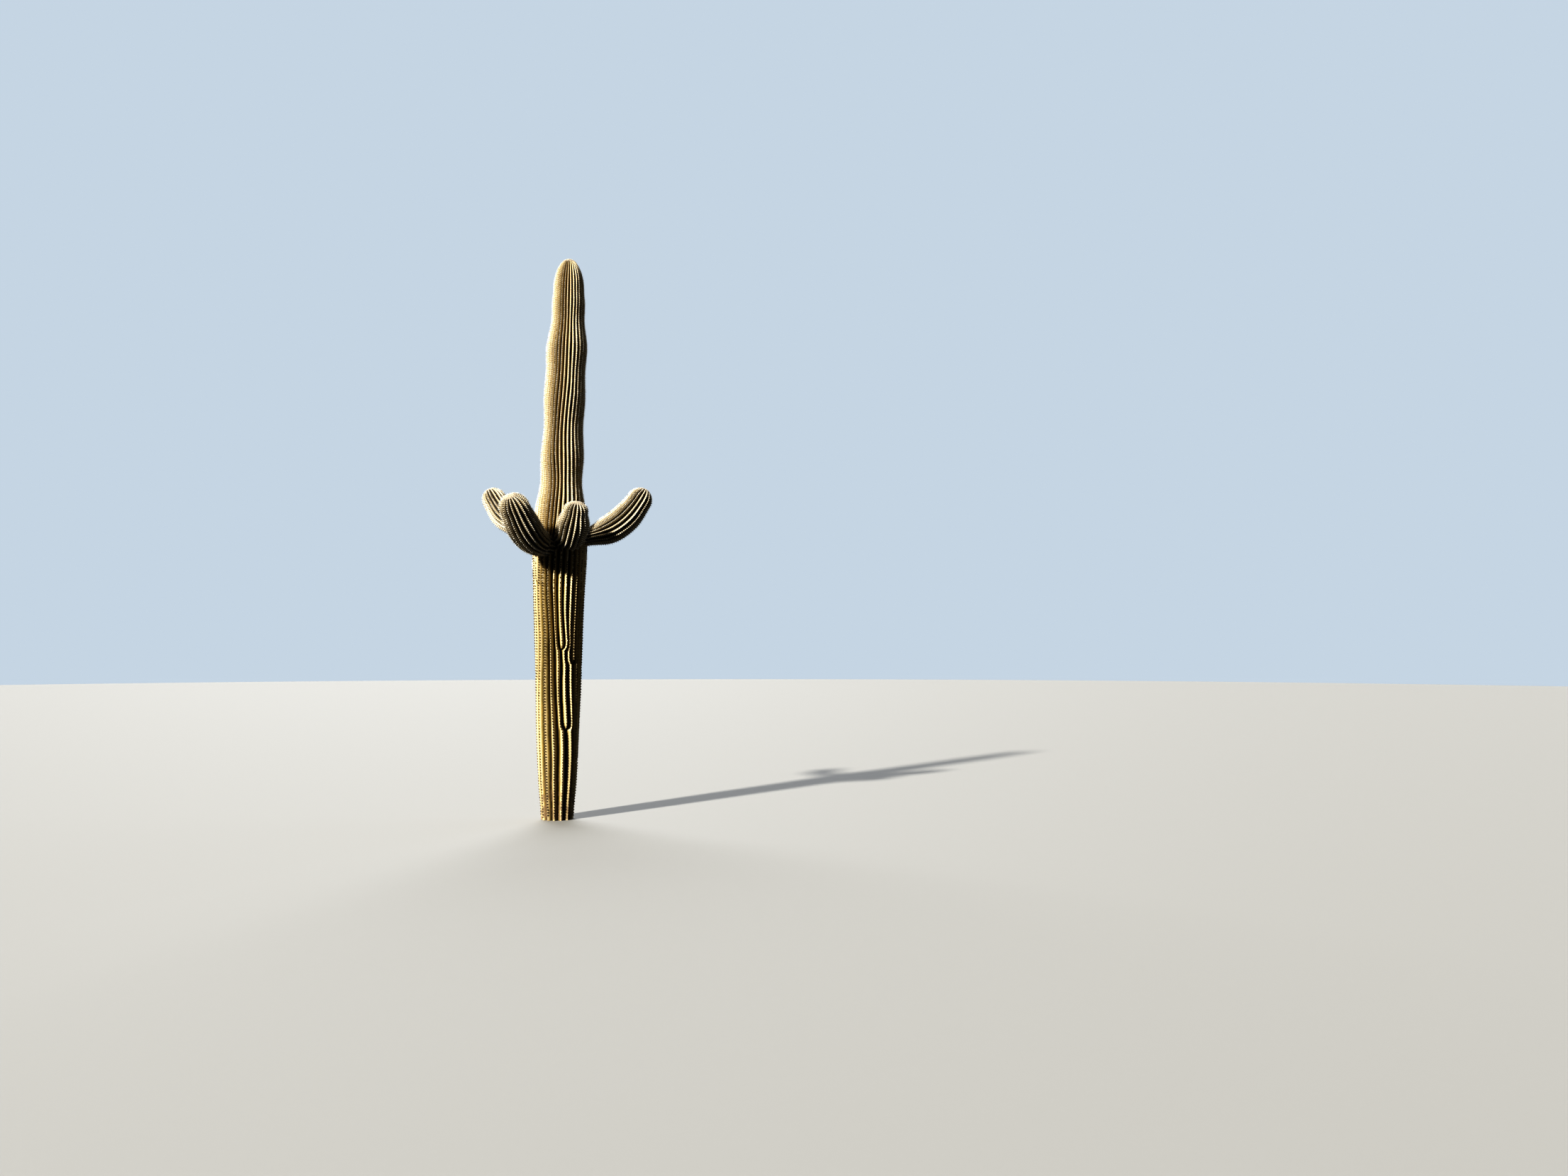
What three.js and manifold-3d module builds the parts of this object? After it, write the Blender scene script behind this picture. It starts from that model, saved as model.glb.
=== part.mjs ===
// Saguaro cactus: a tall ribbed trunk that stands on a flat cut at ground level, with four young arms
// in one whorl at mid height. Millimetres, +Z up, origin at the middle of the cut, -Y is the front.
import * as THREE from "three";
import { mergeVertices } from "three/addons/utils/BufferGeometryUtils.js";
import Module from "manifold-3d";

// Trunk: its height, where its domed tip begins, and its crest radius, valley depth, sideways lean
// and rib twist in degrees as [height, value] stations that a smooth line runs through.
const TRUNK_HEIGHT = 5600;
const TRUNK_DOME_START = 5290;
const TRUNK_RADIUS = [
  [0, 158], [400, 185], [1200, 219], [2250, 250], [2680, 264], [3040, 246], [3320, 201], [3580, 209],
  [3900, 188], [4180, 199], [4450, 187], [4690, 195], [4960, 159], [5150, 159], [5290, 149],
];
const TRUNK_PLEAT = [[0, 38], [900, 52], [2600, 58], [3300, 42], [5290, 34]];
const TRUNK_LEAN = [[0, 0], [2800, 0], [4200, 34], [5000, 60], [5600, 64]];
const TRUNK_TWIST = [[0, 0], [2300, 0], [3150, 3], [3820, -6], [4400, 0], [5600, 0]];

// Height at which each rib of the trunk starts, going round it from the left side past the front.
// 0 is a rib that stands on the ground; the others push in between their neighbours.
const TRUNK_RIB_STARTS = [
  0, 2300, 0, 2700, 0, 2750, 0, 2640, 0, 1660, 880, 0, 1520, 0, 540, 0,
  1450, 980, 0, 2100, 0, 640, 1560, 0, 900, 0, 2650, 1120, 0, 800, 0, 1380,
];
const TRUNK_FIRST_RIB_DEG = -167.5;
const TRUNK_RIB_ROOM = { spread: 140, settle: 700 };

// Arms: direction round the trunk (0 is +X, -90 the front), height of the axis where it leaves the
// trunk, how far out and up the tip goes, slopes at both ends, and [share of length, radius] stations.
// The valleys' depth is a share of the radius, least at the narrow root.
const ARM_START_REACH = 160;
const ARM_DOME_SHARE = 0.84;
const ARM_PLEAT = [[0, 0.1], [0.3, 0.26], [1, 0.26]];
const ARMS = {
  arm_right: {
    heading: 12, height: 2779, reach: 849, rise: 508, rootSlope: 6, tipSlope: 63,
    radius: [[0, 96], [0.16, 94], [0.36, 137], [0.62, 142], [0.84, 124]],
  },
  arm_front: {
    heading: -62, height: 2771, reach: 526, rise: 310, rootSlope: -21, tipSlope: 73,
    radius: [[0, 92], [0.2, 131], [0.42, 146], [0.62, 151], [0.84, 115]],
  },
  arm_front_left: {
    heading: -114, height: 2685, reach: 825, rise: 422, rootSlope: -5, tipSlope: 55,
    radius: [[0, 103], [0.16, 117], [0.38, 151], [0.62, 160], [0.84, 140]],
  },
  arm_back_left: {
    heading: 160, height: 2771, reach: 836, rise: 528, rootSlope: 19, tipSlope: 61,
    radius: [[0, 92], [0.16, 94], [0.36, 104], [0.62, 142], [0.84, 120]],
  },
};
// Share of an arm's length at which each of its ribs starts, and the room that a new one makes.
const ARM_RIB_STARTS = [0, 0, 0, 0.2, 0, 0, 0, 0, 0, 0, 0, 0.12, 0, 0, 0, 0, 0, 0];
const ARM_RIB_ROOM = { spread: 0.12, settle: 0.3 };
// How far an arm's bend is pulled along the slopes at its ends, as a share of the reach between them.
const ARM_BEND_SHARE = 0.42;

// Mesh: rings along the trunk and the arms, and rings round a domed tip.
const TRUNK_RINGS = 46;
const ARM_RINGS = 14;
const DOME_RINGS = 5;
const COLUMNS_PER_RIB = 2;
// The sliver of the turn that a rib takes before it starts, as a share of a full rib's width, and the
// ribs on each side that make room for it.
const UNBORN_SHARE = 0.04;
const NEAR_RIBS = [-2, -1, 1, 2];
// How far the arms are cut back from the trunk along its radius, which leaves 0.3 on the ribs' flanks.
const ARM_CLEARANCE = 0.8;

const FULL_TURN = 2 * Math.PI;
const ease = (t) => THREE.MathUtils.smoothstep(t, 0, 1);
const radians = THREE.MathUtils.degToRad;

// The value at a place on a smooth line through [place, value] stations, level past both ends.
function along(stations, place) {
  const last = stations.length - 1;
  if (place <= stations[0][0]) return stations[0][1];
  if (place >= stations[last][0]) return stations[last][1];
  const i = stations.findIndex(([p]) => p > place) - 1;
  const slope = (k) => {
    if (k === 0 || k === last) return 0;
    return (stations[k + 1][1] - stations[k - 1][1]) / (stations[k + 1][0] - stations[k - 1][0]);
  };
  const [p0, v0] = stations[i];
  const [p1, v1] = stations[i + 1];
  const span = p1 - p0;
  const t = (place - p0) / span;
  const t2 = t * t;
  const t3 = t2 * t;
  return (2 * t3 - 3 * t2 + 1) * v0 + (t3 - 2 * t2 + t) * span * slope(i)
    + (3 * t2 - 2 * t3) * v1 + (t3 - t2) * span * slope(i + 1);
}

// How the ribs share the turn at one place of a limb: each rib's start angle, its width and how far
// it has risen. A new rib rises over the spread and takes its room from the two ribs on each side
// of it; the rest of the turn makes way over the longer settle.
function ribsAt(starts, place, { spread, settle }) {
  const grown = (start, over) => (start === 0 ? 1 : ease((place - start) / over));
  const share = (growth) => UNBORN_SHARE + (1 - UNBORN_SHARE) * growth;
  const settled = starts.map((start) => share(grown(start, settle)));
  const shares = [...settled];
  starts.forEach((start, j) => {
    const early = share(grown(start, spread)) - settled[j];
    const near = NEAR_RIBS.map((step) => (j + step + starts.length) % starts.length);
    const room = near.reduce((sum, k) => sum + settled[k], 0);
    near.forEach((k) => {
      shares[k] -= (early * settled[k]) / room;
    });
    shares[j] += early;
  });
  const total = shares.reduce((sum, width) => sum + width, 0);
  const widths = shares.map((width) => width / total);
  const froms = [];
  widths.reduce((passed, width) => {
    froms.push(passed);
    return passed + width;
  }, 0);
  const drifts = starts
    .map((start, j) => (start === 0 ? froms[j] + widths[j] / 2 - (j + 0.5) / starts.length : null))
    .filter((drift) => drift !== null);
  const drift = drifts.reduce((sum, value) => sum + value, 0) / drifts.length;
  return starts.map((start, j) => ({
    from: FULL_TURN * (froms[j] - drift),
    width: FULL_TURN * widths[j],
    rise: grown(start, spread),
  }));
}

// The skin of one limb as a closed geometry. limb.rings lists its rings from root to tip, each with
// a centre, two axes, the crest radius, the pleat depth and its ribs; limb.tip closes the far end.
function ribbedSkin(limb, grow = 0) {
  const columns = limb.rings[0].ribs.length * COLUMNS_PER_RIB;
  const rows = limb.rings.length;
  const profile = Array.from({ length: rows + 2 }, (_, i) => {
    const atEnd = i === 0 || i > rows;
    return new THREE.Vector2(atEnd ? 0 : 1, i);
  });
  const geometry = new THREE.LatheGeometry(profile, columns);
  const places = geometry.getAttribute("position");
  for (let column = 0; column <= columns; column += 1) {
    for (let row = 0; row < rows + 2; row += 1) {
      const point = skinPoint(limb, row - 1, column % columns, grow);
      places.setXYZ(column * (rows + 2) + row, point.x, point.y, point.z);
    }
  }
  geometry.deleteAttribute("normal");
  geometry.deleteAttribute("uv");
  return mergeVertices(geometry);
}

function skinPoint(limb, row, column, grow) {
  if (row < 0) return limb.rings[0].centre;
  if (row >= limb.rings.length) return limb.tip;
  const { centre, across, beside, radius, pleat, ribs } = limb.rings[row];
  const rib = ribs[Math.floor(column / COLUMNS_PER_RIB)];
  const share = (column % COLUMNS_PER_RIB) / COLUMNS_PER_RIB;
  const crest = (1 - Math.abs(2 * share - 1)) * rib.rise;
  const reach = radius - pleat * (1 - crest) + grow;
  const angle = rib.from + rib.width * share;
  return centre.clone()
    .addScaledVector(across, reach * Math.cos(angle))
    .addScaledVector(beside, reach * Math.sin(angle));
}

// The places of a limb's rings: even steps to where its dome starts, then even turns over the dome.
function ringPlaces(domeStart, end, steps) {
  const places = [];
  for (let i = 0; i <= steps; i += 1) {
    places.push({ place: (domeStart * i) / steps, shrink: 1 });
  }
  for (let i = 1; i <= DOME_RINGS; i += 1) {
    const turn = (Math.PI / 2) * (i / (DOME_RINGS + 1));
    places.push({ place: domeStart + (end - domeStart) * Math.sin(turn), shrink: Math.cos(turn) });
  }
  return places;
}

function trunkLimb() {
  const axis = (height) => new THREE.Vector3(along(TRUNK_LEAN, height), 0, height);
  const rings = ringPlaces(TRUNK_DOME_START, TRUNK_HEIGHT, TRUNK_RINGS).map(({ place, shrink }) => {
    const turn = radians(TRUNK_FIRST_RIB_DEG + along(TRUNK_TWIST, place));
    return {
      centre: axis(place),
      across: new THREE.Vector3(Math.cos(turn), Math.sin(turn), 0),
      beside: new THREE.Vector3(-Math.sin(turn), Math.cos(turn), 0),
      radius: along(TRUNK_RADIUS, place) * shrink,
      pleat: along(TRUNK_PLEAT, place) * shrink,
      ribs: ribsAt(TRUNK_RIB_STARTS, place, TRUNK_RIB_ROOM),
    };
  });
  return { rings, tip: axis(TRUNK_HEIGHT) };
}

// An arm's axis: out of the trunk at the root slope, then up to the tip slope, in one upright plane.
function armAxis({ heading, height, reach, rise, rootSlope, tipSlope }) {
  const outward = new THREE.Vector3(Math.cos(radians(heading)), Math.sin(radians(heading)), 0);
  const at = (out, up) => outward.clone().multiplyScalar(out).setZ(height + up);
  const handle = ARM_BEND_SHARE * Math.hypot(reach - ARM_START_REACH, rise);
  const root = radians(rootSlope);
  const tip = radians(tipSlope);
  return new THREE.CubicBezierCurve3(
    at(ARM_START_REACH, 0),
    at(ARM_START_REACH + handle * Math.cos(root), handle * Math.sin(root)),
    at(reach - handle * Math.cos(tip), rise - handle * Math.sin(tip)),
    at(reach, rise),
  );
}

function armLimb(arm) {
  const axis = armAxis(arm);
  const beside = new THREE.Vector3(-Math.sin(radians(arm.heading)), Math.cos(radians(arm.heading)), 0);
  const rings = ringPlaces(ARM_DOME_SHARE, 1, ARM_RINGS).map(({ place, shrink }) => {
    const radius = along(arm.radius, place) * shrink;
    return {
      centre: axis.getPointAt(place),
      across: beside.clone().cross(axis.getTangentAt(place)),
      beside,
      radius,
      pleat: radius * along(ARM_PLEAT, place),
      ribs: ribsAt(ARM_RIB_STARTS, place, ARM_RIB_ROOM),
    };
  });
  return { rings, tip: axis.getPointAt(1) };
}

const wasm = await Module();
wasm.setup();

function toSolid(geometry) {
  return new wasm.Manifold(new wasm.Mesh({
    numProp: 3,
    vertProperties: new Float32Array(geometry.getAttribute("position").array),
    triVerts: new Uint32Array(geometry.index.array),
  }));
}

function toGeometry(solid) {
  const { vertProperties, triVerts } = solid.getMesh();
  return new THREE.BufferGeometry()
    .setAttribute("position", new THREE.BufferAttribute(vertProperties, 3))
    .setIndex(new THREE.BufferAttribute(triVerts, 1));
}

const trunkSkin = new THREE.MeshStandardMaterial({ color: 0x8d7f3f, roughness: 0.75, metalness: 0 });
const armSkin = new THREE.MeshStandardMaterial({ color: 0x6f6c3c, roughness: 0.75, metalness: 0 });

function mesh(name, geometry, material) {
  const piece = new THREE.Mesh(geometry, material);
  piece.name = name;
  return piece;
}

const saguaro = new THREE.Group();
const trunk = trunkLimb();
saguaro.add(mesh("trunk", toGeometry(toSolid(ribbedSkin(trunk))), trunkSkin));

// Each arm is cut to the trunk's ribs, a hair clear of them.
const trunkWithClearance = toSolid(ribbedSkin(trunk, ARM_CLEARANCE));
for (const [name, arm] of Object.entries(ARMS)) {
  const solid = toSolid(ribbedSkin(armLimb(arm))).subtract(trunkWithClearance);
  saguaro.add(mesh(name, toGeometry(solid), armSkin));
}

export default saguaro;
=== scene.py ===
import math

import bmesh
import bpy
import numpy as np
from mathutils import Matrix, Vector


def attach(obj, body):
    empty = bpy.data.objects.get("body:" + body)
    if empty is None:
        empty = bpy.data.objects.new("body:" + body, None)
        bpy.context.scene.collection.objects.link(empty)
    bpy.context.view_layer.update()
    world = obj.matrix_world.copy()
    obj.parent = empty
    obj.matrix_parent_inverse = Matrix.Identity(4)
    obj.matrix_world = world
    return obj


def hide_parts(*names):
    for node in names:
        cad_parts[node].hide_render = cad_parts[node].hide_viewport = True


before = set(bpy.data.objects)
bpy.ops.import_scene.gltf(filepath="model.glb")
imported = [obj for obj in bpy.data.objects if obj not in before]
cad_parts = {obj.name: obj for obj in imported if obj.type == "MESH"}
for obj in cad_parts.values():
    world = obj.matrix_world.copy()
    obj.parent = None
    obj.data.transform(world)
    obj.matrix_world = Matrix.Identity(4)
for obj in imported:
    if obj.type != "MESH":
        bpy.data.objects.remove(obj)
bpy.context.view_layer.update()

# Camera: eye level, 11.7 m in front of the trunk and 2.2 m to its right, tipped up a little.
CAMERA_PLACE = (2.234, -11.7, 1.638)
CAMERA_TILT = math.radians(3.12)
CAMERA_SENSOR_MM = 36
CAMERA_LENS_MM = 27.03

# Light: a low warm key lamp from the left front, two broad faint ones from behind and from the right,
# and a faint fill all round, before a pale backdrop. The lamps' angles are in degrees.
LAMPS = {
    "key": dict(azimuth=-128, height=29, softness=3, strength=5.6, colour=(1.0, 0.97, 0.91)),
    "back": dict(azimuth=108, height=35, softness=50, strength=2.8, colour=(0.92, 0.95, 1.0)),
    "side": dict(azimuth=32, height=15, softness=60, strength=0.75, colour=(0.92, 0.95, 1.0)),
}
FILL_COLOUR = (0.60, 0.70, 0.82)
FILL_STRENGTH = 0.03
BACKDROP_COLOUR = (0.62, 0.70, 0.78)
BACKDROP_STRENGTH = 0.62
FLOOR_RADIUS = 60
FLOOR_SIDES = 96
FLOOR_DROP = 0.001
FLOOR_COLOUR = (0.27, 0.265, 0.25)
FLOOR_ROUGHNESS = 0.9
CONTRAST = "Very High Contrast"

# Trunk, by the same stations as its solid: (height, value) for the radius over the ribs' crests, the
# depth of the valleys, the lean to the right, and the twist in degrees.
TRUNK_HEIGHT = 5.6
TRUNK_DOME_START = 5.29
TRUNK_RADIUS = [
    (0, 0.158), (0.4, 0.185), (1.2, 0.219), (2.25, 0.25), (2.68, 0.264), (3.04, 0.246), (3.32, 0.201),
    (3.58, 0.209), (3.9, 0.188), (4.18, 0.199), (4.45, 0.187), (4.69, 0.195), (4.96, 0.159),
    (5.15, 0.159), (5.29, 0.149),
]
TRUNK_PLEAT = [(0, 0.038), (0.9, 0.052), (2.6, 0.058), (3.3, 0.042), (5.29, 0.034)]
TRUNK_LEAN = [(0, 0), (2.8, 0), (4.2, 0.034), (5, 0.06), (5.6, 0.064)]
TRUNK_TWIST = [(0, 0), (2.3, 0), (3.15, 3), (3.82, -6), (4.4, 0), (5.6, 0)]

# Height at which each rib of the trunk starts, going round it from the left side past the front; then
# the first one's direction, the heights over which a new rib rises and the others make way for it, and
# where the trunk's skin is split in two.
TRUNK_RIB_STARTS = [
    0, 2.3, 0, 2.7, 0, 2.75, 0, 2.64, 0, 1.66, 0.88, 0, 1.52, 0, 0.54, 0,
    1.45, 0.98, 0, 2.1, 0, 0.64, 1.56, 0, 0.9, 0, 2.65, 1.12, 0, 0.8, 0, 1.38,
]
TRUNK_FIRST_RIB = math.radians(-167.5)
TRUNK_RIB_SPREAD = 0.08
TRUNK_RIB_SETTLE = 0.7
TRUNK_SPLIT = 2.72

# Arms: direction round the trunk, height of the axis where it leaves, how far out and up the tip goes,
# slopes at both ends in degrees, and (share of length, radius) stations. The valleys' depth is a share
# of the radius, least at the narrow root.
ARM_START_REACH = 0.16
ARM_DOME_SHARE = 0.84
ARM_BEND_SHARE = 0.42
ARM_AXIS_POINTS = 401
ARM_PLEAT = [(0, 0.1), (0.3, 0.26), (1, 0.26)]
ARMS = {
    "arm_right": dict(
        heading=12, height=2.779, reach=0.849, rise=0.508, root_slope=6, tip_slope=63,
        radius=[(0, 0.096), (0.16, 0.094), (0.36, 0.137), (0.62, 0.142), (0.84, 0.124)],
    ),
    "arm_front": dict(
        heading=-62, height=2.771, reach=0.526, rise=0.31, root_slope=-21, tip_slope=73,
        radius=[(0, 0.092), (0.2, 0.131), (0.42, 0.146), (0.62, 0.151), (0.84, 0.115)],
    ),
    "arm_front_left": dict(
        heading=-114, height=2.685, reach=0.825, rise=0.422, root_slope=-5, tip_slope=55,
        radius=[(0, 0.103), (0.16, 0.117), (0.38, 0.151), (0.62, 0.16), (0.84, 0.14)],
    ),
    "arm_back_left": dict(
        heading=160, height=2.771, reach=0.836, rise=0.528, root_slope=19, tip_slope=61,
        radius=[(0, 0.092), (0.16, 0.094), (0.36, 0.104), (0.62, 0.142), (0.84, 0.12)],
    ),
}
ARM_RIB_STARTS = [0, 0, 0, 0.2, 0, 0, 0, 0, 0, 0, 0, 0.12, 0, 0, 0, 0, 0, 0]
ARM_RIB_SPREAD = 0.06
ARM_RIB_SETTLE = 0.3

# Ribs: the two neighbours on each side that make room for a new one, the sliver of the turn that a rib
# takes before it starts, how round its crest is on old and young flesh, and how far an old crest dips
# between two clusters of spines.
NEAR_RIBS = (-2, -1, 1, 2)
UNBORN_SHARE = 0.04
OLD_ROUNDING = 1.2
YOUNG_ROUNDING = 1.15
CREST_DIP = 0.0025

# Waves by which the ribs sway and the flesh swells: size, waves round the limb, radians per metre up it
# and shift. A size is in radians for a sway and a share of the radius for a swelling.
SWAYS = [(0.011, 2, 4.1, 0), (0.007, 5, -9, 1), (0.005, 9, 15, 2)]
SWELLINGS = [(0.008, 2, 3.1, 0), (0.006, 3, -5.3, 0)]

# The trunk's flesh and spines change from old to young between these heights.
OLD_BELOW = 2.1
YOUNG_ABOVE = 3.1

# Skin mesh: ring spacing, lines across each rib, rings over a dome, the angle past which an edge is
# sharp, and the gap below which points are joined.
RING_SPACING = 0.0095
LINES_PER_RIB = 8
DOME_RINGS = 30
SHARP_EDGE = math.radians(50)
JOIN_GAP = 1e-5

# Skin colours of the valleys, which are painted shade, the flank, its patches and the crest, and of
# the rungs between two clusters on young flesh, which are painted shade between the clusters.
TRUNK_YOUNG = ((0.014, 0.011, 0.005), (0.30, 0.195, 0.034), (0.20, 0.125, 0.022), (0.80, 0.695, 0.47))
TRUNK_OLD = ((0.070, 0.046, 0.009), (0.31, 0.212, 0.038), (0.19, 0.140, 0.024), (0.66, 0.54, 0.31))
ARM_YOUNG = ((0.010, 0.008, 0.004), (0.13, 0.090, 0.030), (0.08, 0.054, 0.018), (0.68, 0.60, 0.44))
TRUNK_RUNG_SHADE = (0.24, 0.155, 0.042)
ARM_RUNG_SHADE = (0.17, 0.125, 0.06)
CORK = (0.22, 0.15, 0.08)
CORK_HEIGHT = 0.7
WOOL = (0.46, 0.40, 0.31)
WOOL_REACH = 0.085
SKIN_ROUGHNESS = 0.55
SKIN_SHEEN = 0.1
SKIN_SHEEN_ROUGHNESS = 0.6

# Where these colours set in, from none to all: the flank's over the valleys' painted shade and the
# crest's by height on the rib, which is 0 in the valleys beside it and 1 on its crest; the rungs' painted
# shade by how much of a gap the nearest cluster is away, by height on the rib and by age, which is 1 for
# old flesh.
FLANK_FROM = (0.2, 0.6)
CREST_FROM = (0.46, 0.86)
RUNG_SHADE_FROM_CLUSTER = (0.15, 0.5)
RUNG_SHADE_FROM_HEIGHT = (0.5, 0.85)
RUNG_SHADE_FROM_AGE = (0.6, 0.2)

# Noise in the skin: scale, detail and roughness, and the values between which it sets in.
BROAD_PATCHES = (4, 4, 0.6, 0.42, 0.62)
FINE_PATCHES = (34, 4, 0.6, 0.5, 0.68)
FLECKS = (90, 2, 0.6, 0.64, 0.72)
CORK_EDGE = (16, 6, 0.7, 0.38, 0.62)
WOOL_EDGE = (70, 3, 0.6, 0.3, 0.5)
PORES = (160, 3, 0.6)
PORE_STRENGTH = 0.25
PORE_DEPTH = 0.002

# Clusters of spines: their spacing along a rib on old and young flesh and near the tips, and how far
# they stray from level with the next rib's.
OLD_SPACING = 0.027
YOUNG_SPACING = 0.0185
TIP_SPACING = 0.011
TIP_REACH = 0.16
LEVEL_JITTER = 0.12
LEVEL_TURN = 2.4

# The clusters start where a rib has risen this far and above the bare foot. They thin out below one rib
# width and are full size from another. None stands inside another limb, tested on one ring in so many.
FIRST_CLUSTER_RISE = 0.6
BARE_FOOT = 0.03
THIN_ROOM = 0.012
FULL_ROOM = 0.036
SMALLEST_CLUSTER = 0.45
CLUSTER_SIZES = (0.85, 1.15)
INSIDE_STEP = 4

# Each kind of cluster: how many spines spread around it and stand in its middle, and their sizes.
CLUSTERS = {
    "old": dict(around=8, short=0.008, middle=3, long=0.013, thickness=0.0014),
    "young": dict(around=8, short=0.009, middle=13, long=0.016, thickness=0.0011),
}
# How broad, high and proud a cluster is of those sizes.
CLUSTER_SHAPES = {
    "old": (1, 1, 1),
    "young": (0.8, 0.8, 1),
}
# The lean of both from the way out, in radians, and how far their lengths and places round it differ.
SPREAD_LEAN = (0.85, 1.3)
STANDING_LEAN = (0.1, 0.8)
SPINE_LENGTHS = (0.75, 1.25)
SPINE_STRAY = 0.3
SPINE_SIDES = 3
SPINE_ROUGHNESS = 0.55
CLUSTER_PATTERNS = 8
SPINE_COLOURS = {
    "ivory": (0.94, 0.93, 0.90),
    "cream": (0.90, 0.87, 0.80),
    "straw": (0.64, 0.53, 0.36),
    "ash": (0.26, 0.20, 0.14),
}
# Shares of the clusters that take each colour.
SPINE_SHARES = {
    "young": {"ivory": 0.42, "cream": 0.34, "straw": 0.15, "ash": 0.09},
    "old": {"cream": 0.06, "straw": 0.26, "ash": 0.68},
}

# Felt under each cluster: half its width, length and thickness, and its colour; then how dull and how
# lumpy it is.
FELT = {
    "old": {
        "rim": ((0.0092, 0.0102, 0.0018), (0.42, 0.33, 0.17)),
        "eye": ((0.0066, 0.0074, 0.0046), (0.05, 0.035, 0.02)),
    },
    "young": {
        "button": ((0.0050, 0.0062, 0.0036), (0.80, 0.73, 0.58)),
    },
}
FELT_ROUGHNESS = 0.95
PAD_LUMPS = (0.85, 1.1)
PAD_PATTERNS = 6

# Wool on the tips: tufts on each, how far down from the pole they reach, half their size and how much
# it differs, the lines of each rib that they stand on, and how far short of the count of rings they end.
TUFTS = 900
TUFT_REACH = 0.08
TUFT_SIZE = (0.0042, 0.0042, 0.0036)
TUFT_SIZES = (0.7, 1.3)
TUFT_LINES = (0, 0.25, 0.5, 0.75)
TUFT_MARGIN = 1.01

SEED = 20
FULL_TURN = 2 * math.pi
SHORTEST = 1e-12


def smooth_line(stations, places):
    """Values at places on a smooth line through (place, value) stations, level past both ends."""
    at, value = np.array(stations, float).T
    slope = np.zeros(len(at))
    slope[1:-1] = (value[2:] - value[:-2]) / (at[2:] - at[:-2])
    places = np.clip(places, at[0], at[-1])
    i = np.clip(np.searchsorted(at, places, side="right") - 1, 0, len(at) - 2)
    span = at[i + 1] - at[i]
    t = (places - at[i]) / span
    return (
        (2 * t**3 - 3 * t**2 + 1) * value[i]
        + (t**3 - 2 * t**2 + t) * span * slope[i]
        + (3 * t**2 - 2 * t**3) * value[i + 1]
        + (t**3 - t**2) * span * slope[i + 1]
    )


def ease(t):
    """From 0 to 1 as t is, but slow at both ends."""
    t = np.clip(t, 0, 1)
    return t * t * (3 - 2 * t)


def round_end(t):
    """As ease, but with the blunt start of a quarter circle."""
    t = np.clip(t, 0, 1)
    return np.sqrt(t * (2 - t))


def add_waves(value, waves, angle, walked):
    for size, turns, climb, shift in waves:
        value = value + size * np.sin(turns * angle + climb * walked + shift)
    return value


def unit(vectors):
    return vectors / np.maximum(np.linalg.norm(vectors, axis=-1, keepdims=True), SHORTEST)


def share_turn(starts, places, spread, settle):
    """Each rib's start on the turn, its width and how far it has risen, ring by ring. A new rib rises
    over the spread and takes its room from the ribs beside it; the rest make way over the settle."""
    starts = np.array(starts, float)
    grounded = starts == 0

    def grown(over, curve):
        return np.where(grounded, 1, curve((places[:, None] - starts) / over))

    rise = grown(spread, round_end)
    settled = UNBORN_SHARE + (1 - UNBORN_SHARE) * grown(settle, ease)
    early = UNBORN_SHARE + (1 - UNBORN_SHARE) * rise - settled
    room = sum(np.roll(settled, -step, axis=1) for step in NEAR_RIBS)
    push = sum(np.roll(early / room, step, axis=1) for step in NEAR_RIBS)
    shares = settled + early - settled * push
    width = shares / shares.sum(axis=1, keepdims=True)
    start = np.cumsum(width, axis=1) - width
    even = (np.arange(len(starts)) + 0.5) / len(starts)
    drift = (start + width / 2 - even)[:, grounded].mean(axis=1, keepdims=True)
    return FULL_TURN * (start - drift), FULL_TURN * width, rise


def ring_places(dome_start, end, spacing):
    """Even steps to where the dome starts, then even turns over it to its pole, and each one's shrink."""
    body = np.linspace(0, dome_start, round(dome_start / spacing) + 1)
    turn = np.linspace(0, math.pi / 2, DOME_RINGS + 1)[1:]
    places = np.concatenate([body, dome_start + (end - dome_start) * np.sin(turn)])
    shrink = np.concatenate([np.ones(len(body)), np.cos(turn)])
    return places, shrink


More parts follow.
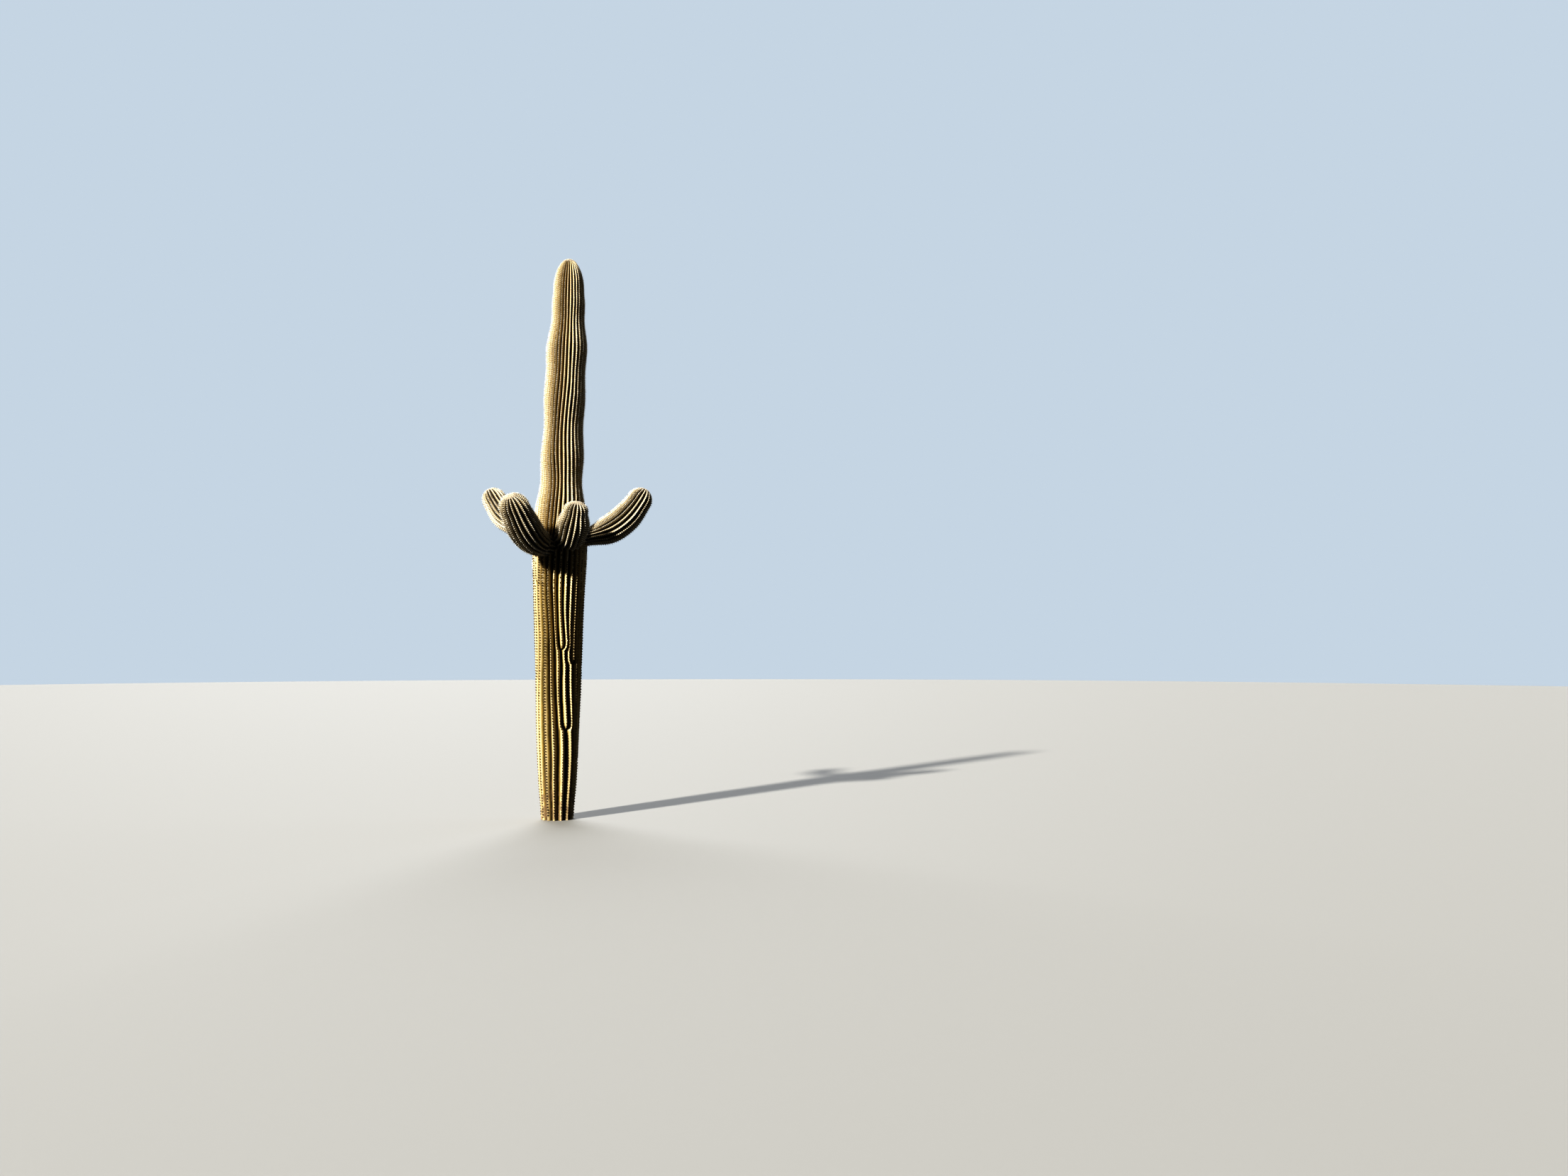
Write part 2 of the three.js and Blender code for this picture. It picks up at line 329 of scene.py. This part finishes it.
class Limb:
    """A trunk or an arm as a row of rings from root to tip, each shared out among its ribs."""

    def __init__(self, name, centre, across, beside, radius, pleat, turn, age):
        self.name = name
        self.centre = centre
        self.across = across
        self.beside = beside
        self.radius = radius
        self.pleat = pleat
        self.start, self.width, self.rise = turn
        self.ribs = self.start.shape[1]
        self.rows = len(radius)
        self.age = age
        self.rounding = YOUNG_ROUNDING + (OLD_ROUNDING - YOUNG_ROUNDING) * age
        self.walked = self.steps(centre + radius[:, None] * beside)
        self.to_tip = self.walked[-1] - self.walked
        self.wander()
        self.number_clusters()

    @staticmethod
    def steps(line):
        """How far each point of a line is from its first, walked along it."""
        return np.concatenate([[0], np.cumsum(np.linalg.norm(np.diff(line, axis=0), axis=1))])

    def wander(self):
        """Ribs sway a little, all by one smooth rule, so that they never cross."""
        self.start = add_waves(self.start, SWAYS, self.start, self.walked[:, None])
        after = np.roll(self.start, -1, axis=1)
        after[:, -1] += FULL_TURN
        self.width = after - self.start

    def number_clusters(self):
        """Counts the clusters of spines up each rib: nearly level round the limb, closer at its tip."""
        gap = YOUNG_SPACING + (OLD_SPACING - YOUNG_SPACING) * self.age
        gap += (TIP_SPACING - gap) * ease(1 - self.to_tip / TIP_REACH)
        level = np.cumsum(np.diff(self.walked, prepend=0) / gap)
        self.count = level[:, None] + LEVEL_JITTER * np.sin(LEVEL_TURN * np.arange(self.ribs))

    def line(self, rib, share):
        """One line of a rib, ring by ring, how near the crest it is, and the way out. Shares 0 and 1 are
        the valleys beside the rib and 0.5 its crest."""
        angle = self.start[:, rib] + self.width[:, rib] * share
        crest = (1 - abs(2 * share - 1) ** self.rounding) * self.rise[:, rib]
        dip = self.age * CREST_DIP * crest**3 * np.sin(math.pi * self.count[:, rib]) ** 2
        swelling = add_waves(0, SWELLINGS, angle, self.walked)
        thin = ease(self.to_tip / TIP_REACH)
        reach = (self.radius - self.pleat * (1 - crest)) * (1 + swelling * thin) - dip * thin
        outward = np.cos(angle)[:, None] * self.across + np.sin(angle)[:, None] * self.beside
        return self.centre + reach[:, None] * outward, crest, outward


def make_trunk():
    places, shrink = ring_places(TRUNK_DOME_START, TRUNK_HEIGHT, RING_SPACING)
    turned = TRUNK_FIRST_RIB + np.radians(smooth_line(TRUNK_TWIST, places))
    flat = np.zeros(len(places))
    return Limb(
        "trunk",
        centre=np.stack([smooth_line(TRUNK_LEAN, places), flat, places], axis=1),
        across=np.stack([np.cos(turned), np.sin(turned), flat], axis=1),
        beside=np.stack([-np.sin(turned), np.cos(turned), flat], axis=1),
        radius=smooth_line(TRUNK_RADIUS, places) * shrink,
        pleat=smooth_line(TRUNK_PLEAT, places) * shrink,
        turn=share_turn(TRUNK_RIB_STARTS, places, TRUNK_RIB_SPREAD, TRUNK_RIB_SETTLE),
        age=1 - ease((places - OLD_BELOW) / (YOUNG_ABOVE - OLD_BELOW)),
    )


def arm_axis(heading, height, reach, rise, root_slope, tip_slope):
    """Points and directions along an arm's axis, its share of length at each, and its length."""
    outward = np.array([math.cos(math.radians(heading)), math.sin(math.radians(heading)), 0])
    handle = ARM_BEND_SHARE * math.hypot(reach - ARM_START_REACH, rise)

    def at(out, up):
        return outward * out + np.array([0, 0, height + up])

    root, tip = math.radians(root_slope), math.radians(tip_slope)
    a = at(ARM_START_REACH, 0)
    b = at(ARM_START_REACH + handle * math.cos(root), handle * math.sin(root))
    c = at(reach - handle * math.cos(tip), rise - handle * math.sin(tip))
    d = at(reach, rise)
    t = np.linspace(0, 1, ARM_AXIS_POINTS)[:, None]
    points = (1 - t) ** 3 * a + 3 * (1 - t) ** 2 * t * b + 3 * (1 - t) * t**2 * c + t**3 * d
    heads = (1 - t) ** 2 * (b - a) + 2 * (1 - t) * t * (c - b) + t**2 * (d - c)
    walked = Limb.steps(points)
    return points, unit(heads), walked / walked[-1], walked[-1]


def make_arm(name, heading, radius, **sizes):
    points, heads, shares, length = arm_axis(heading, **sizes)
    places, shrink = ring_places(ARM_DOME_SHARE, 1, RING_SPACING / length)
    centre = np.stack([np.interp(places, shares, points[:, k]) for k in range(3)], axis=1)
    head = unit(np.stack([np.interp(places, shares, heads[:, k]) for k in range(3)], axis=1))
    beside = np.array([-math.sin(math.radians(heading)), math.cos(math.radians(heading)), 0])
    beside = np.broadcast_to(beside, centre.shape)
    thickness = smooth_line(radius, places) * shrink
    return Limb(
        name,
        centre=centre,
        across=np.cross(beside, head),
        beside=beside,
        radius=thickness,
        pleat=thickness * smooth_line(ARM_PLEAT, places),
        turn=share_turn(ARM_RIB_STARTS, places, ARM_RIB_SPREAD, ARM_RIB_SETTLE),
        age=np.zeros(len(places)),
    )


def principled(name, roughness):
    """A new material, its nodes and its shader."""
    material = bpy.data.materials.new(name)
    material.use_nodes = True
    nodes = material.node_tree.nodes
    shader = nodes["Principled BSDF"]
    shader.inputs["Roughness"].default_value = roughness
    return material, nodes, shader


def plain(name, colour, roughness):
    material, _, shader = principled(name, roughness)
    shader.inputs["Base Color"].default_value = (*colour, 1)
    return material


def add_node(nodes, kind, **values):
    """A node with its input sockets set: values by socket name, with spaces as underscores."""
    node = nodes.new(kind)
    for socket, value in values.items():
        node.inputs[socket.replace("_", " ")].default_value = value
    return node


def blend_colours(nodes, links, factor, first, second):
    """The colour that goes from first to second as factor goes from 0 to 1."""
    mix = nodes.new("ShaderNodeMix")
    mix.data_type = "RGBA"
    links.new(factor, mix.inputs["Factor"])
    for socket, colour in ((mix.inputs[6], first), (mix.inputs[7], second)):
        if isinstance(colour, tuple):
            socket.default_value = (*colour, 1)
        else:
            links.new(colour, socket)
    return mix.outputs[2]


def stretch(nodes, links, value, low, high):
    """From 0 where value is at low to 1 where it is at high, smooth between and level past both. Low may
    be the larger of the two."""
    ramp = nodes.new("ShaderNodeMapRange")
    ramp.interpolation_type = "SMOOTHSTEP"
    ramp.inputs["From Min"].default_value = low
    ramp.inputs["From Max"].default_value = high
    links.new(value, ramp.inputs["Value"])
    return ramp.outputs["Result"]


def multiply(nodes, links, first, second):
    node = nodes.new("ShaderNodeMath")
    node.operation = "MULTIPLY"
    links.new(first, node.inputs[0])
    links.new(second, node.inputs[1])
    return node.outputs[0]


def skin_material(name, young, old, rung_shade):
    """Waxy skin from (valley_shade, flank, patch, crest) colours for young and old flesh: painted shade
    in the valleys and between young clusters, patchy and flecked, corky near the ground and felted at a
    tip."""
    material, nodes, shader = principled(name, SKIN_ROUGHNESS)
    shader.inputs["Sheen Weight"].default_value = SKIN_SHEEN
    shader.inputs["Sheen Roughness"].default_value = SKIN_SHEEN_ROUGHNESS
    links = material.node_tree.links
    place = nodes.new("ShaderNodeTexCoord").outputs["Object"]

    def attribute(word):
        node = nodes.new("ShaderNodeAttribute")
        node.attribute_name = word
        return node.outputs["Fac"]

    def noise(scale, detail, roughness):
        node = add_node(nodes, "ShaderNodeTexNoise", Scale=scale, Detail=detail, Roughness=roughness)
        links.new(place, node.inputs["Vector"])
        return node.outputs["Fac"]

    def mottle(scale, detail, roughness, low, high):
        return stretch(nodes, links, noise(scale, detail, roughness), low, high)

    age = attribute("age")
    height = attribute("crest")
    valley_shade, flank, patch, crest = (blend_colours(nodes, links, age, *pair) for pair in zip(young, old))
    flank = blend_colours(nodes, links, mottle(*BROAD_PATCHES), flank, patch)
    flank = blend_colours(nodes, links, mottle(*FINE_PATCHES), flank, patch)
    # The valleys' colour is painted shade: near black low on each rib, giving way to the flank's higher
    # up.
    colour = blend_colours(nodes, links, stretch(nodes, links, height, *FLANK_FROM), valley_shade, flank)
    colour = blend_colours(nodes, links, stretch(nodes, links, height, *CREST_FROM), colour, crest)
    # The count is whole at each cluster, so this is how much of a gap the nearest one is away.
    from_cluster = nodes.new("ShaderNodeMath")
    from_cluster.operation = "PINGPONG"
    from_cluster.inputs[1].default_value = 0.5
    links.new(attribute("count"), from_cluster.inputs[0])
    # Rungs of painted shade darken the crest between two clusters, most on young flesh.
    rung_shades = stretch(nodes, links, from_cluster.outputs[0], *RUNG_SHADE_FROM_CLUSTER)
    rung_shades = multiply(nodes, links, rung_shades, stretch(nodes, links, height, *RUNG_SHADE_FROM_HEIGHT))
    rung_shades = multiply(nodes, links, rung_shades, stretch(nodes, links, age, *RUNG_SHADE_FROM_AGE))
    colour = blend_colours(nodes, links, rung_shades, colour, rung_shade)
    colour = blend_colours(nodes, links, mottle(*FLECKS), colour, CORK)
    cork = multiply(nodes, links, attribute("cork"), mottle(*CORK_EDGE))
    colour = blend_colours(nodes, links, cork, colour, CORK)
    wool = multiply(nodes, links, attribute("wool"), mottle(*WOOL_EDGE))
    colour = blend_colours(nodes, links, wool, colour, WOOL)
    links.new(colour, shader.inputs["Base Color"])
    bump = add_node(nodes, "ShaderNodeBump", Strength=PORE_STRENGTH, Distance=PORE_DEPTH)
    links.new(noise(*PORES), bump.inputs["Height"])
    links.new(bump.outputs["Normal"], shader.inputs["Normal"])
    return material


def ribbed_skin(name, limb, first, last, material):
    """The flesh between two rings of a limb, closed at both ends, from a grid wrapped round it. A rib
    that starts above the last ring takes one line, since it is still a sliver there."""
    lines = []
    for rib in range(limb.ribs):
        steps = LINES_PER_RIB if limb.rise[last, rib] > 0 else 1
        lines += [(*limb.line(rib, k / LINES_PER_RIB)[:2], limb.count[:, rib]) for k in range(steps)]
    rings = last - first
    half = 0.5
    bm = bmesh.new()
    bmesh.ops.create_grid(bm, x_segments=len(lines), y_segments=rings + 2, size=half)
    layers = {word: bm.verts.layers.float.new(word) for word in ("crest", "count", "age", "cork", "wool")}
    cork = 1 - ease(limb.centre[:, 2] / CORK_HEIGHT)
    wool = ease(1 - limb.to_tip / WOOL_REACH)
    for vert in bm.verts:
        column = round((vert.co.x + half) * len(lines)) % len(lines)
        step = round((vert.co.y + half) * (rings + 2))
        row = min(max(first + step - 1, first), last)
        points, crest, count = lines[column]
        vert.co = points[row] if 0 < step < rings + 2 else limb.centre[row]
        vert[layers["crest"]] = crest[row]
        vert[layers["count"]] = count[row]
        vert[layers["age"]] = limb.age[row]
        vert[layers["cork"]] = cork[row]
        vert[layers["wool"]] = wool[row]
    bmesh.ops.remove_doubles(bm, verts=bm.verts, dist=JOIN_GAP)
    bmesh.ops.recalc_face_normals(bm, faces=bm.faces)
    for face in bm.faces:
        face.smooth = True
    for edge in bm.edges:
        edge.smooth = edge.calc_face_angle(0) < SHARP_EDGE
    mesh = bpy.data.meshes.new(name)
    bm.to_mesh(mesh)
    bm.free()
    return show(name, mesh, material)


def show(name, mesh, material):
    """The mesh as a piece of the object, riding on its one body."""
    mesh.materials.append(material)
    piece = bpy.data.objects.new(name, mesh)
    bpy.context.scene.collection.objects.link(piece)
    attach(piece, "root")
    return piece


def cluster_stands(limb):
    """Where the clusters of spines stand: rows of origin, side, up and out, and for each the room across
    its rib and its age."""
    rows = np.arange(limb.rows)
    stands = []
    facts = []
    for rib in range(limb.ribs):
        points, _, outward = limb.line(rib, 0.5)
        count = limb.count[:, rib]
        born = np.argmax(limb.rise[:, rib] > FIRST_CLUSTER_RISE)
        at = np.interp(np.arange(math.ceil(count[born]), count[-1]), count, rows)
        origin, up, out = (
            np.stack([np.interp(at, rows, values[:, k]) for k in range(3)], axis=1)
            for values in (points, np.gradient(points, axis=0), outward)
        )
        up = unit(up)
        out = unit(out - (out * up).sum(axis=1, keepdims=True) * up)
        stands.append(np.stack([origin, np.cross(up, out), up, out], axis=1))
        room = limb.width[:, rib] * limb.radius
        facts.append(np.stack([np.interp(at, rows, values) for values in (room, limb.age)]))
    return np.concatenate(stands), *np.concatenate(facts, axis=1)


def tip_stands(limb, rng):
    """Places for tufts of wool, scattered evenly over the skin round a limb's pole."""
    grid = np.stack([limb.line(rib, share)[0] for rib in range(limb.ribs) for share in TUFT_LINES])
    first = np.argmax(limb.to_tip < TUFT_REACH)
    away = TUFT_REACH * np.sqrt(rng.random(TUFTS))
    row = np.interp(-away, -limb.to_tip, np.arange(limb.rows))
    row = np.clip(row, first, limb.rows - TUFT_MARGIN)
    column = rng.integers(len(grid), size=TUFTS)
    low = row.astype(int)
    share = (row - low)[:, None]
    origin = grid[column, low] * (1 - share) + grid[column, low + 1] * share
    out = unit(origin - limb.centre[first])
    side = unit(np.cross(rng.normal(size=(TUFTS, 3)), out))
    return np.stack([origin, side, np.cross(out, side), out], axis=1)


def inside(limb, points):
    """Which points are inside a limb."""
    away = np.linalg.norm(points[:, None] - limb.centre[None, ::INSIDE_STEP], axis=2)
    return (away < limb.radius[None, ::INSIDE_STEP]).any(axis=1)


def needle(bm, length, thickness, lean, turn):
    """A pointed spine from the origin, leaning from the way out and turned round it from below."""
    way = Vector((math.sin(lean) * math.sin(turn), -math.sin(lean) * math.cos(turn), math.cos(lean)))
    place = Matrix.Translation(way * length / 2) @ way.to_track_quat("Z", "Y").to_matrix().to_4x4()
    bmesh.ops.create_cone(
        bm,
        cap_ends=True,
        segments=SPINE_SIDES,
        radius1=thickness / 2,
        radius2=0,
        depth=length,
        matrix=place,
    )


def spine_cluster(rng, around, short, middle, long, thickness):
    """A cluster: short spines spread around, and longer ones that stand out of the middle."""
    bm = bmesh.new()
    for count, length, leans in ((around, short, SPREAD_LEAN), (middle, long, STANDING_LEAN)):
        for k in range(count):
            turn = FULL_TURN * (k + rng.uniform(-SPINE_STRAY, SPINE_STRAY)) / count
            needle(bm, length * rng.uniform(*SPINE_LENGTHS), thickness, rng.uniform(*leans), turn)
    return read(bm)


def felt_pad(rng):
    """A lumpy button of felt, two units across, around the origin."""
    bm = bmesh.new()
    bmesh.ops.create_icosphere(bm, subdivisions=1, radius=1)
    for vert in bm.verts:
        vert.co *= rng.uniform(*PAD_LUMPS)
    return read(bm)


def read(bm):
    """A pattern's points and triangles as arrays."""
    bmesh.ops.triangulate(bm, faces=bm.faces)
    bm.verts.index_update()
    points = np.array([vert.co for vert in bm.verts])
    corners = np.array([[vert.index for vert in face.verts] for face in bm.faces])
    bm.free()
    return points, corners


def strew(name, rng, patterns, stands, sizes, material):
    """One joined mesh with a pattern, picked at random, at every stand. Each stand's sizes go to the
    side, up and out."""
    picks = rng.integers(len(patterns), size=len(stands))
    points, corners, passed = [], [], 0
    for k, (shape, faces) in enumerate(patterns):
        here = stands[picks == k]
        axes = here[:, 1:] * sizes[picks == k][:, :, None]
        placed = here[:, :1] + np.einsum("vk,mkc->mvc", shape, axes)
        points.append(placed.reshape(-1, 3))
        starts = passed + len(shape) * np.arange(len(here))
        corners.append((faces[None] + starts[:, None, None]).reshape(-1, 3))
        passed += len(shape) * len(here)
    mesh = bpy.data.meshes.new(name)
    mesh.from_pydata(np.concatenate(points), [], np.concatenate(corners))
    mesh.shade_smooth()
    return show(name, mesh, material)


def dress(limb, others):
    """Spines and felt for a limb, with the spines' colours dealt out by cluster, and wool on its tip."""
    stands, room, age = cluster_stands(limb)
    origins = stands[:, 0]
    keep = origins[:, 2] > BARE_FOOT
    for other in others:
        keep &= ~inside(other, origins)
    keep &= rng.random(len(keep)) < room / THIN_ROOM
    stands, room, age = stands[keep], room[keep], age[keep]
    size = np.clip(room / FULL_ROOM, SMALLEST_CLUSTER, 1) * rng.uniform(*CLUSTER_SIZES, len(room))
    size = size[:, None]
    old = rng.random(len(age)) < age
    deal = rng.random(len(stands))
    for kind, these in (("old", old), ("young", ~old)):
        if not these.any():
            continue
        low = 0
        for tint, share in SPINE_SHARES[kind].items():
            here = these & (deal >= low) & (deal < low + share)
            low += share
            name = f"spines_{limb.name}_{kind}_{tint}"
            sizes = size[here] * np.array(CLUSTER_SHAPES[kind])
            strew(name, rng, clusters[kind], stands[here], sizes, spine_paint[tint])
        for part, (sizes, _) in FELT[kind].items():
            name = f"felt_{part}_{limb.name}"
            strew(name, rng, pads, stands[these], size[these] * np.array(sizes), felt_paint[part])
    tufts = tip_stands(limb, rng)
    sizes = rng.uniform(*TUFT_SIZES, (TUFTS, 1)) * np.array(TUFT_SIZE)
    strew(f"wool_{limb.name}", rng, pads, tufts, sizes, tip_wool)


def stage_camera():
    camera = bpy.data.cameras.new("camera")
    camera.sensor_width = CAMERA_SENSOR_MM
    camera.lens = CAMERA_LENS_MM
    stand = bpy.data.objects.new("camera", camera)
    stand.location = CAMERA_PLACE
    stand.rotation_euler = (math.pi / 2 + CAMERA_TILT, 0, 0)
    bpy.context.scene.collection.objects.link(stand)
    bpy.context.scene.camera = stand


def stage_lamp(name, azimuth, height, softness, strength, colour):
    """A far lamp that shines from an azimuth and height, as broad in the sky as its softness."""
    lamp = bpy.data.lights.new(name, "SUN")
    lamp.energy = strength
    lamp.angle = math.radians(softness)
    lamp.color = colour
    stand = bpy.data.objects.new(name, lamp)
    turn, rise = math.radians(azimuth), math.radians(height)
    towards = Vector((math.cos(rise) * math.cos(turn), math.cos(rise) * math.sin(turn), math.sin(rise)))
    stand.rotation_euler = towards.to_track_quat("Z", "Y").to_euler()
    bpy.context.scene.collection.objects.link(stand)


def stage_surroundings():
    """A faint fill all round, a pale backdrop in its place where it shows, and the picture's contrast."""
    world = bpy.data.worlds.new("studio")
    world.use_nodes = True
    nodes = world.node_tree.nodes
    links = world.node_tree.links
    fill = nodes["Background"]
    fill.inputs["Color"].default_value = (*FILL_COLOUR, 1)
    fill.inputs["Strength"].default_value = FILL_STRENGTH
    backdrop = nodes.new("ShaderNodeBackground")
    backdrop.inputs["Color"].default_value = (*BACKDROP_COLOUR, 1)
    backdrop.inputs["Strength"].default_value = BACKDROP_STRENGTH
    mix = nodes.new("ShaderNodeMixShader")
    links.new(nodes.new("ShaderNodeLightPath").outputs["Is Camera Ray"], mix.inputs["Fac"])
    links.new(fill.outputs["Background"], mix.inputs[1])
    links.new(backdrop.outputs["Background"], mix.inputs[2])
    links.new(mix.outputs["Shader"], nodes["World Output"].inputs["Surface"])
    bpy.context.scene.world = world
    bpy.context.scene.view_settings.view_transform = "Standard"
    bpy.context.scene.view_settings.look = CONTRAST


def stage_floor():
    """A pale floor that takes the shadows but throws no light back up."""
    bm = bmesh.new()
    bmesh.ops.create_circle(bm, cap_ends=True, segments=FLOOR_SIDES, radius=FLOOR_RADIUS)
    mesh = bpy.data.meshes.new("floor")
    bm.to_mesh(mesh)
    bm.free()
    mesh.materials.append(plain("floor_paint", FLOOR_COLOUR, FLOOR_ROUGHNESS))
    floor = bpy.data.objects.new("floor", mesh)
    floor.location.z = -FLOOR_DROP
    floor.visible_diffuse = False
    bpy.context.scene.collection.objects.link(floor)


stage_camera()
for name, settings in LAMPS.items():
    stage_lamp(name, **settings)
stage_surroundings()
stage_floor()

rng = np.random.default_rng(SEED)
trunk = make_trunk()
arms = [make_arm(name, **sizes) for name, sizes in ARMS.items()]

trunk_skin = skin_material("trunk_skin", TRUNK_YOUNG, TRUNK_OLD, TRUNK_RUNG_SHADE)
arm_skin = skin_material("arm_skin", ARM_YOUNG, ARM_YOUNG, ARM_RUNG_SHADE)
split = int(np.searchsorted(trunk.centre[:, 2], TRUNK_SPLIT))
lower = ribbed_skin("trunk_flesh_lower", trunk, 0, split, trunk_skin)
upper = ribbed_skin("trunk_flesh_upper", trunk, split, trunk.rows - 1, trunk_skin)
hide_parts("trunk")
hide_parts("trunk")
for arm in arms:
    flesh = ribbed_skin(arm.name + "_flesh", arm, 0, arm.rows - 1, arm_skin)
    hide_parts(arm.name)

clusters = {
    kind: [spine_cluster(rng, **sizes) for _ in range(CLUSTER_PATTERNS)]
    for kind, sizes in CLUSTERS.items()
}
pads = [felt_pad(rng) for _ in range(PAD_PATTERNS)]
spine_paint = {
    tint: plain("spines_" + tint, colour, SPINE_ROUGHNESS)
    for tint, colour in SPINE_COLOURS.items()
}
felt_paint = {
    part: plain("felt_" + part, colour, FELT_ROUGHNESS)
    for parts in FELT.values()
    for part, (_, colour) in parts.items()
}
tip_wool = plain("tip_wool", WOOL, FELT_ROUGHNESS)
dress(trunk, arms)
for arm in arms:
    dress(arm, [trunk])
